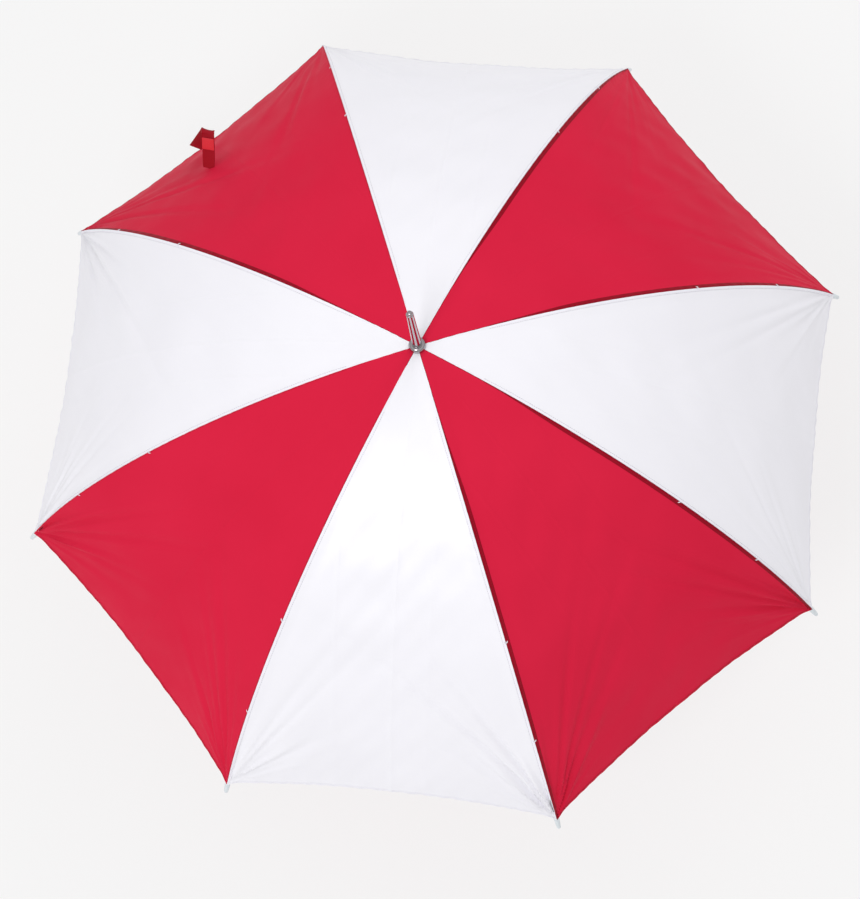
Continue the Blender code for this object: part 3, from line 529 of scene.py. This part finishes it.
def half_gore(gore, side):
    """Half a gore of the canopy, from its middle line to one of its seams."""
    rows, columns = 176, 60
    a = 1 - (1 - np.linspace(0, 1, rows)) ** GRADING
    a = np.sort(np.concatenate((a, 1 - np.array((0.93, 1.07)) * HEM_WIDTH / ARC)))
    v = 1 - (1 - np.linspace(0, 1, columns)) ** GRADING
    v = side * np.sort(np.concatenate((v, 1 - np.array((0.0015, 0.008)))))
    if side < 0:
        v = v[::-1]
    rows_a, across_v = np.meshgrid(a, v, indexing="ij")
    points = gore_points(gore, rows_a, across_v)
    mesh = slab_mesh("gore", points, CLOTH)
    half_width = DOME_RADIUS * np.sin(rows_a * CORNER_ANGLE) * math.sin(SECTOR / 2)
    weave_places(mesh, across_v * half_width, rows_a * ARC)
    return canopy_piece("gore", gore, side, mesh, WHITE if is_white(gore) else RED, 60)


def fell_width(gore, side, a):
    """Width of the felled edge that shows beside a seam: none at the crown, slim at the tip. On the shaded
    red seams it is a wide band of painted shade.
    """
    if is_white(gore):
        return 0.0038 * ease((a - 0.02) / 0.16)
    # painted shade: on these seams the felled edge is a wide dark band that stands for the ridge's shadow
    if (gore, side) in PAINTED_SHADE_FELLS:
        slimming = 0.35 if gore == 8 else 0.75
        return 0.0060 * ease((a - 0.10) / 0.22) * (1 - slimming * ease((a - 0.62) / 0.34))
    return 0.0012 * ease((a - 0.05) / 0.2)


def seam_strip(gore, side):
    """The felled edge of a gore beside its seam."""
    a = np.linspace(0.03, 0.998, 260)
    share = np.linspace(0, 1, 8)
    width = np.maximum(fell_width(gore, side, a), 0.00025)
    inset = width[:, None] * share[None, :] - 0.00018 * (1 - share[None, :])
    rise = 0.00026 + 0.00030 * np.sqrt(np.maximum(1 - share**2, 0)) * np.minimum(width[:, None] / 0.002, 1)
    if side > 0:
        inset, rise = inset[:, ::-1], rise[:, ::-1]
    rows_a = np.broadcast_to(a[:, None], inset.shape)
    points = seam_points(gore, side, rows_a, np.maximum(inset, 0), rise)
    mesh = slab_mesh("seam", points, 0.00026)
    weave_places(mesh, inset, rows_a * ARC)
    # dark crimson painted shade on the seams whose ridge faces away from the light
    material = WHITE_SEAM if is_white(gore) else PAINTED_SHADE_SEAM if (gore, side) in PAINTED_SHADE_FELLS else RED
    return canopy_piece("seam", gore, side, mesh, material, 70)


def seam_stitches(gore, side):
    """A row of stitches along the strip's edge."""
    white = is_white(gore)
    widest, beside = (0.0043, 0.0005) if white else (0.0038, -0.0008)
    pitch = 0.0033
    paths = []
    for k in range(int(ARC * 0.86 / pitch)):
        start = 0.125 + k * pitch / ARC
        places = start + np.linspace(0, 0.74 * pitch / ARC, 3)
        edge = fell_width(gore, side, np.array([start]))[0] + beside
        edge = min(widest, max(edge, 0.0009))
        lift = 0.00012 if white else 0.00045
        bow = lift + np.array((-0.0001, 0.0001, -0.0001))
        paths.append(seam_points(gore, side, places, np.full(3, edge), bow))
    mesh = tube_mesh("stitches", paths, STITCH_RADIUS, 4)
    return canopy_piece("seam_stitches", gore, side, mesh, THREAD_GREY if white else THREAD_RED)


def hem_thread(gore, side):
    """The overlock thread that zigzags along the hem, and the straight one at its inner edge."""
    pitch = 0.0034
    inner = HEM_WIDTH * 0.62
    count = int(CORNER_RADIUS * math.sin(SECTOR / 2) / pitch) * 2
    share = np.linspace(0.004, 0.985, count)
    zigzag = np.where(np.arange(count) % 2, 0.0010, inner)
    path = gore_points(gore, 1 - zigzag / ARC, side * share, 0.00012)
    line = gore_points(gore, 1 - inner / ARC, side * np.linspace(0.004, 0.985, 200), 0.00014)
    mesh = tube_mesh("hem_thread", [path, line], THREAD_RADIUS, 4)
    return canopy_piece("hem_thread", gore, side, mesh, THREAD_WHITE if is_white(gore) else THREAD_RED)


def seam_tacks(rib):
    """Threads that hold the seam to the rib in two places."""
    paths = []
    before, after = rib, rib % RIBS + 1
    for share in TACK_PLACES:
        for k in range(4):
            place = share + (k - 1.5) * 0.0006 / ARC
            left = seam_points(before, 1, np.full(3, place), np.array((0.0022, 0.0012, 0.0)), 0.0008)
            right = seam_points(after, -1, np.full(3, place), np.array((0.0, 0.0012, 0.0022)), 0.0008)
            ends = seam_points(before, 1, np.array([place]), np.array([0.0026]), 0.0001)
            last = seam_points(after, -1, np.array([place]), np.array([0.0026]), 0.0001)
            paths.append(np.concatenate((ends, left, right[1:], last)))
    item = smooth_object("seam_tacks_%d" % rib, tube_mesh("tacks", paths, THREAD_RADIUS, 5), THREAD_WHITE)
    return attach(item, "rib_%d" % rib)


def build_canopy():
    for gore in range(1, RIBS + 1):
        for side in (-1, 1):
            half = half_gore(gore, side)
            extras = [make(gore, side) for make in (seam_strip, seam_stitches, hem_thread)]
    for rib in range(1, RIBS + 1):
        seam_tacks(rib)


# ------------------------------------------------------------------ rib tips
TIP_START = 0.994                               # where the tips begin, as a share of the seam
TIP_DEPTH = 0.0033                              # a tip's middle line under the seam


def tip_frame(rib):
    """A space with its origin under the cloth's corner on a rib and Z along the rib's end."""
    angle = CORNER_ANGLE * TIP_START
    middle = DOME_RADIUS - TIP_DEPTH
    origin = Vector((middle * math.sin(angle), 0.0, DOME_Z + middle * math.cos(angle)))
    return (
        Matrix.Rotation((rib - 1) * SECTOR, 4, "Z")
        @ Matrix.Translation(origin)
        @ Matrix.Rotation(math.pi / 2 + angle, 4, "Y")
    )


def build_tips():
    """Moulded plastic tips: a slim neck, a flared collar with a thread eye, and a rounded end."""
    length, radius, neck, end = 0.029, 0.0040, 0.0015, 0.0030
    profile = [(0.0, length)] + arc((0.0, length - end), end, 85, 8, 7)
    profile += [(radius * 0.90, length * 0.55), (radius, 0.0068), (radius, 0.0060)]
    profile += [(radius * 0.86, 0.0052), (radius * 0.86, 0.0042), (radius, 0.0036), (radius * 0.95, 0.0028)]
    profile += [(neck, 0.0004), (neck, -0.0118), (neck * 0.9, -0.0120), (0.0010, -0.0120)]
    profile += [(0.0010, 0.0036), (0.0, 0.0036)]
    for rib in range(1, RIBS + 1):
        mesh = turned_mesh("tip", profile, 32)
        mesh.transform(tip_frame(rib))
        item = smooth_object("tip_%d" % rib, mesh, MILKY)
        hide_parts("rib_tip_%d" % rib)
        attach(item, "rib_%d" % rib)


# ------------------------------------------------------------------ ferrule, cap and handle
def fixed_turned(name, profile, material, slot, *nodes, steps=72, angle=40):
    """A turned piece on the shaft that stands for CAD nodes."""
    item = smooth_object(name, turned_mesh(name, profile, steps), material, angle)
    if nodes:
        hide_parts(*nodes)
    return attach(item, "shaft")


def build_ferrule():
    """The tapered ferrule: a domed end over a neck and a bead, and a turned foot on the cap."""
    top, base = FERRULE_TOP, CAP_TOP + 0.0003
    end, foot = 0.0050, 0.0064
    profile = [(0.0, top), (end * 0.22, top - 0.0001)]
    profile += [
        (end * 0.80 * math.sin(t), top - 0.0034 * (1 - math.cos(t))) for t in np.linspace(0.45, 1.45, 7)
    ]
    profile += [(end * 0.80, top - 0.0040), (end * 0.78, top - 0.0050), (end * 0.66, top - 0.0054)]
    profile += [(end * 0.66, top - 0.0060), (end * 0.80, top - 0.0063)]
    profile += arc((end * 0.86, top - 0.0070), 0.0007, 80, -10, 5)
    taper = top - 0.010 - base - 0.006
    profile += [(end + (foot - end) * t, top - 0.010 - taper * t) for t in (0, 0.25, 0.5, 0.75, 1.0)]
    profile += [(foot, base + 0.0022), (foot - 0.0003, base + 0.0018), (foot - 0.0003, base + 0.0012)]
    profile += [(foot + 0.0002, base + 0.0009), (foot + 0.0002, base + 0.0002), (foot, base)]
    profile += [(0.0049, base), (0.0049, CROWN_Z - 0.0120), (0.0, CROWN_Z - 0.0120)]
    fixed_turned("ferrule_tip", profile, CHROME, "chrome", "ferrule")


def build_cap():
    """The open cap: a smooth round-shouldered bell with a thin rolled rim."""
    top, low, rim = CAP_TOP, CAP_LOW, CAP_RADIUS
    shoulder = 0.0056
    bore = TUBE_RADIUS + 0.0003
    profile = [(bore, top - 0.0002), (bore + 0.0004, top)]
    profile += [
        (rim * 0.58 + (rim * 0.42) * math.sin(t), top - shoulder * (1 - math.cos(t)))
        for t in np.linspace(0.05, math.pi / 2, 10)
    ]
    profile += [(rim, low + 0.0010)] + arc((rim - 0.00035, low + 0.00035), 0.00035, 0, -180, 6)
    profile += [(rim - 0.0009, low + 0.0010), (rim - 0.0009, top - shoulder), (rim * 0.80, top - 0.0026)]
    profile += [(bore, top - 0.0014)]
    fixed_turned("cap_bell", profile, CHROME, "chrome", "open_cap")


def build_handle():
    """The wooden grip with its turned grooves, the collar above it and the cap on its end."""
    count = 60
    narrow = 0.86                       # the grip's radius at its top, as a share of its widest
    grip = []
    for k in range(count + 1):
        share = k / count
        radius = GRIP_RADIUS * (narrow + (1 - narrow) * math.sin(math.pi * share**0.75))
        for groove in (0.045, 0.065, 0.955):
            radius -= 0.0006 * math.exp(-(((share - groove) / 0.006) ** 2))
        grip.append((radius, GRIP_TOP - (GRIP_TOP - GRIP_LOW) * share))
    hole = 0.0137
    bore = TUBE_RADIUS + 0.0003
    grip += [(0.0, GRIP_LOW), (0.0, hole), (bore, hole), (bore, GRIP_TOP)]
    fixed_turned("wooden_grip", grip, WOOD, "wood", "handle_grip")

    top, low = COLLAR_TOP, COLLAR_LOW
    collar = [(0.0068, top), (0.0078, top - 0.0001)]
    collar += arc((0.0078, top - 0.0012), 0.0012, 80, 0, 5)
    collar += [(0.0094, top - 0.0026), (0.0108, top - 0.0050), (0.0118, low + 0.0036)]
    collar += arc((COLLAR_RADIUS - 0.0008, low + 0.0020), 0.0008, 70, -20, 5)
    collar += [(COLLAR_RADIUS - 0.0002, low + 0.0006), (COLLAR_RADIUS - 0.0004, low)]
    collar += [(bore, low), (bore, top)]
    fixed_turned("chrome_collar", collar, CHROME, "chrome", "handle_collar")

    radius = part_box("handle_end_cap")[1].x
    cap_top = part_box("handle_end_cap")[1].z
    cap = [(0.0, cap_top), (radius - 0.0003, cap_top), (radius, cap_top - 0.0003)]
    cap += arc((radius - 0.0010, 0.0010), 0.0010, 0, -90, 6) + [(0.0, 0.0)]
    fixed_turned("chrome_end_cap", cap, CHROME, "chrome", "handle_end_cap")


# ------------------------------------------------------------------ tie strap
STRAP_RIB = 4
STRAP_AZIMUTH = math.radians(117.1)
STRAP_FACING = math.radians(-123.0)
STRAP_SHARE = 0.772
STRAP_WIDTH = 0.019
STRAP_PATH = (                          # backwards, across and up from its stitched end
    (0.0010, 0.0000, 0.0012),
    (0.0073, 0.0000, 0.0099),
    (0.0205, 0.0015, 0.0265),
    (0.0330, 0.0035, 0.0422),
    (0.0385, 0.0050, 0.0468),
    (0.0430, 0.0085, 0.0400),
    (0.0440, 0.0150, 0.0220),
    (0.0450, 0.0270, -0.0090),
    (0.0460, 0.0390, -0.0400),
    (0.0464, 0.0475, -0.0615),
)
PATCH_SIZE = 0.0180


def strap_frame():
    """Origin on the cloth at the strap's stitched end, X backwards, Y across, Z up."""
    v = math.tan(STRAP_AZIMUTH - (STRAP_RIB - 1.5) * SECTOR) / math.tan(SECTOR / 2)
    foot = Vector(gore_points(STRAP_RIB, STRAP_SHARE, v)[()])
    back = Vector((-math.cos(STRAP_FACING), -math.sin(STRAP_FACING), 0.0))
    across = Vector((0.0, 0.0, 1.0)).cross(back)
    turn = Matrix((back, across, Vector((0.0, 0.0, 1.0)))).transposed().to_4x4()
    return Matrix.Translation(foot) @ turn


def curve_through(points, count):
    """Points along a smooth curve through the given ones."""
    known = np.asarray(points, float)
    ends = np.concatenate(([2 * known[0] - known[1]], known, [2 * known[-1] - known[-2]]))
    result = []
    for place in np.linspace(0, len(known) - 1, count):
        k = min(int(place), len(known) - 2)
        t = place - k
        p0, p1, p2, p3 = ends[k : k + 4]
        square, cube = 2 * p0 - 5 * p1 + 4 * p2 - p3, 3 * p1 - p0 - 3 * p2 + p3
        result.append(0.5 * (2 * p1 + (p2 - p0) * t + square * t**2 + cube * t**3))
    return np.array(result)


def band_mesh(name, centres, acrosses, fronts, widths, rise, thickness):
    """A closed ribbon: its front face lies a rise before its middle line, which runs up its first axis."""
    steps = np.linspace(-1, 1, rise.shape[1])
    points = (
        centres[:, None]
        + acrosses[:, None] * (steps[None, :] * widths[:, None] / 2)[:, :, None]
        + fronts[:, None] * rise[:, :, None]
    )
    mesh = slab_mesh(name, points[:, ::-1], thickness)
    run = np.concatenate(([0.0], np.cumsum(np.linalg.norm(np.diff(centres, axis=0), axis=1))))
    weave_places(mesh, -steps[None, :] * widths[:, None] / 2, run[:, None])
    mesh.transform(strap_frame())
    return mesh


def tie_ribbon():
    """The ribbon, which stands up from the cloth and falls back towards the hem."""
    path = curve_through(STRAP_PATH, 140)
    along = unit(np.gradient(path, axis=0))
    across = unit(np.array((0.0, 1.0, 0.0)) - along * along[:, 1:2])
    front = np.cross(along, across)
    steps = np.linspace(-1, 1, 31)[None, :]
    share = np.linspace(0, 1, len(path))[:, None]
    gathered = STRAP_WIDTH * (1 - 0.22 * np.exp(-share[:, 0] / 0.05))
    cup = 0.0009 * steps**2 * np.sin(math.pi * share)
    ribs = 0.00018 * np.cos(steps * 34) * np.exp(-share / 0.10)
    edge = 0.00020 * np.exp(-(((np.abs(steps) - 0.86) / 0.05) ** 2))
    mesh = band_mesh("strap", path, across, front, gathered, cup + ribs + edge + 0.0004, 0.0009)
    # the ribbon's dark red is painted shade
    ribbon = smooth_object("tie_ribbon", mesh, PAINTED_SHADE_RIBBON, 60)
    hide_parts("tie_strap")
    return ribbon


def hook_patch():
    """The square of hook tape sewn to the ribbon's straight front."""
    low, high = Vector(STRAP_PATH[2]), Vector(STRAP_PATH[3])
    run = (high - low).normalized()
    over = (Vector((0.0, 1.0, 0.0)) - run * run.y).normalized()
    face = run.cross(over)
    steps = np.linspace(-1, 1, 27)
    middle = low + run * (0.0010 + PATCH_SIZE / 2)
    centres = np.array([tuple(middle + run * (u * PATCH_SIZE / 2)) for u in steps])
    round_off = np.maximum(np.abs(steps[:, None]), np.abs(steps[None, :]))
    worn_edge = 0.0004 * np.exp((round_off - 1) / 0.04)
    sewn_line = 0.00025 * np.exp(-(((round_off - 0.86) / 0.03) ** 2))
    rise = 0.0024 - worn_edge - sewn_line
    same = np.ones((len(steps), 1))
    widths = np.full(len(steps), PATCH_SIZE * 0.98)
    mesh = band_mesh("patch", centres, same * np.array(over), same * np.array(face), widths, rise, 0.0010)
    patch = smooth_object("hook_patch", mesh, TAPE, 60)
    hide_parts("strap_patch")
    return patch


def build_strap():
    ribbon, patch = tie_ribbon(), hook_patch()
    for item in (ribbon, patch):
        fold_with(item, STRAP_RIB)


# ------------------------------------------------------------------ frame pieces that keep their CAD shape
def finish_cad_nodes():
    """Materials and smooth shading for the pieces that are shown as they are in the CAD."""
    finishes = {
        BLACK_STEEL: ["notch_wire", "notch_pin", "runner_wire"]
        + ["%s_%d" % (kind, k) for kind in ("rib", "stretcher", "rivet") for k in range(1, RIBS + 1)],
        CHROME: ["shaft_tube", "stop_pin", "top_catch", "bottom_catch", "runner_sleeve"],
        BLACK_PLASTIC: ["top_notch", "runner_crown"],
        WHITE: ["canopy_rosette"],
    }
    for material, names in finishes.items():
        for name in names:
            item = frame["nodes"][name]
            item.data.materials.clear()
            item.data.materials.append(material)
            item.data.shade_smooth()
            item.data.set_sharp_from_angle(angle=math.radians(35))


# ------------------------------------------------------------------ camera, floor and light
CAMERA_TILT = 0.2431                  # off the umbrella's axis
CAMERA_AZIMUTH = math.radians(-91.34)
CAMERA_ROLL = -0.2676
CAMERA_DISTANCE = 3.035
LOOK_AT = Vector((-0.0214, -0.0503, 0.5270))
LENS = 81.91                          # on a 36 mm sensor along the picture's longer side
SKY = ((0.0, 0.95), (0.10, 1.0), (0.20, 0.50), (0.32, 0.55), (0.50, 0.96), (1.0, 1.0))     # height, level


def camera_axes():
    """The camera's right, up and back directions."""
    tilt, turn = CAMERA_TILT, CAMERA_AZIMUTH
    back = Vector((math.sin(tilt) * math.cos(turn), math.sin(tilt) * math.sin(turn), math.cos(tilt)))
    level_up = Vector((-math.cos(tilt) * math.cos(turn), -math.cos(tilt) * math.sin(turn), math.sin(tilt)))
    level_right = level_up.cross(back)
    right = level_right * math.cos(CAMERA_ROLL) + level_up * math.sin(CAMERA_ROLL)
    up = level_up * math.cos(CAMERA_ROLL) - level_right * math.sin(CAMERA_ROLL)
    return right, up, back


def build_camera():
    right, up, back = camera_axes()
    data = bpy.data.cameras.new("camera")
    data.lens = LENS
    data.sensor_width = 36.0
    data.clip_end = 100.0
    camera = bpy.data.objects.new("camera", data)
    camera.matrix_world = Matrix.Translation(LOOK_AT + back * CAMERA_DISTANCE) @ Matrix(
        (right, up, back)
    ).transposed().to_4x4()
    bpy.context.scene.collection.objects.link(camera)
    bpy.context.scene.camera = camera


def area_light(name, direction, distance, size, power, glossy=True):
    """A round soft light that faces the umbrella from a direction."""
    data = bpy.data.lights.new(name, "AREA")
    data.shape = "DISK"
    data.size = size
    data.energy = power
    light = bpy.data.objects.new(name, data)
    light.location = LOOK_AT + direction.normalized() * distance
    light.rotation_euler = direction.to_track_quat("Z", "Y").to_euler()
    light.visible_glossy = glossy
    bpy.context.scene.collection.objects.link(light)


def studio_world():
    """A bright sky with a darker band low above the horizon."""
    world = bpy.data.worlds.new("studio")
    world.use_nodes = True
    tree = world.node_tree
    parts = node(tree, "ShaderNodeSeparateXYZ")
    tree.links.new(node(tree, "ShaderNodeTexCoord").outputs["Generated"], parts.inputs[0])
    ramp = node(tree, "ShaderNodeValToRGB")
    stops = ramp.color_ramp.elements
    for place, _ in SKY[1:-1]:
        stops.new(place)
    for stop, (_, level) in zip(stops, SKY):
        stop.color = (level, level, level, 1.0)
    tree.links.new(parts.outputs["Z"], ramp.inputs["Fac"])
    background = tree.nodes["Background"]
    tree.links.new(ramp.outputs["Color"], background.inputs["Color"])
    background.inputs["Strength"].default_value = 0.76
    bpy.context.scene.world = world


def build_studio():
    right, up, back = camera_axes()
    area_light("key", back - right * 0.24 - up * 0.26, 3.2, 0.9, 26.0)
    area_light("side", back * 0.55 - right * 0.95 - up * 0.45, 3.2, 0.7, 8.0, glossy=False)
    area_light("fill", back * 0.5 + right * 0.3 + up * 0.9, 3.6, 2.4, 28.0, glossy=False)

    material, _, shader = new_material("pale_floor", (0.25, 0.25, 0.25), 0.9)
    shader.inputs["Specular IOR Level"].default_value = 0.0
    shader.inputs["Emission Color"].default_value = (1.0, 1.0, 1.0, 1.0)
    shader.inputs["Emission Strength"].default_value = 0.68
    bpy.ops.mesh.primitive_plane_add(size=40.0, location=(0.0, 0.0, 0.0))
    floor = bpy.context.object
    floor.name = "floor"
    floor.data.materials.append(material)

    studio_world()
    bpy.context.scene.view_settings.view_transform = "Standard"


build_camera()
build_canopy()
build_tips()
build_ferrule()
build_cap()
build_handle()
build_strap()
finish_cad_nodes()
build_studio()
